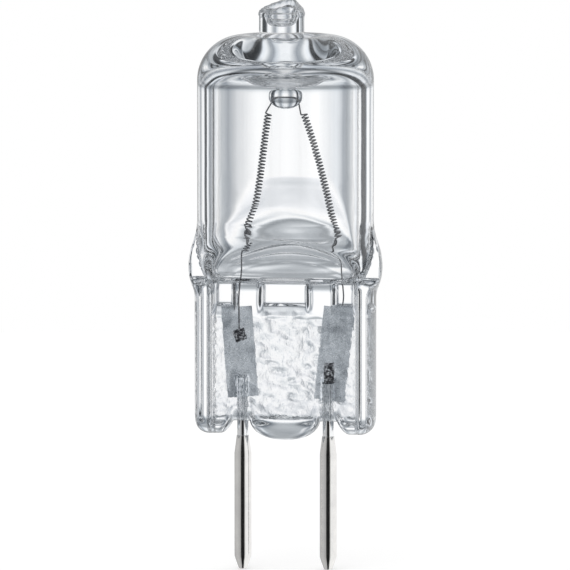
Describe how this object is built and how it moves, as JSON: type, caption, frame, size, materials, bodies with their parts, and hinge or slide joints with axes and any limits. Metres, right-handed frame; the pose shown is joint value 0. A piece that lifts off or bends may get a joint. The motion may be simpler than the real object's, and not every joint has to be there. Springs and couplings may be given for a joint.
{
  "type": "halogen capsule bulb",
  "caption": "Quartz glass capsule lamp with a coiled filament hung in a V, a pressed seal with foil feedthroughs and straight contact pins for a plug-in holder.",
  "frame": {"origin": "midway between the two contact pins, in the plane of their ends", "axes": "+Z along the lamp from the pins to the glass tip, X across the two pins, -Y towards the front of the pressed seal"},
  "size_m": [0.0142, 0.013, 0.0423],
  "materials": {
    "quartz_glass": "clear fused quartz, pressed and fire polished",
    "tungsten_wire": "drawn tungsten wire, dark grey",
    "molybdenum_foil": "matt rolled molybdenum",
    "weld_tab_metal": "rough, speckled weld patch",
    "molybdenum_rod": "satin molybdenum wire",
    "plated_pin": "bright nickel plate"
  },
  "bodies": {
    "root": {"glass_envelope": "quartz_glass", "filament": "tungsten_wire", "left_foil": "molybdenum_foil", "right_foil": "molybdenum_foil", "left_weld_tab": "weld_tab_metal", "right_weld_tab": "weld_tab_metal", "left_lead_rod": "molybdenum_rod", "right_lead_rod": "molybdenum_rod", "left_contact_pin": "plated_pin", "right_contact_pin": "plated_pin"}
  },
  "joints": []
}
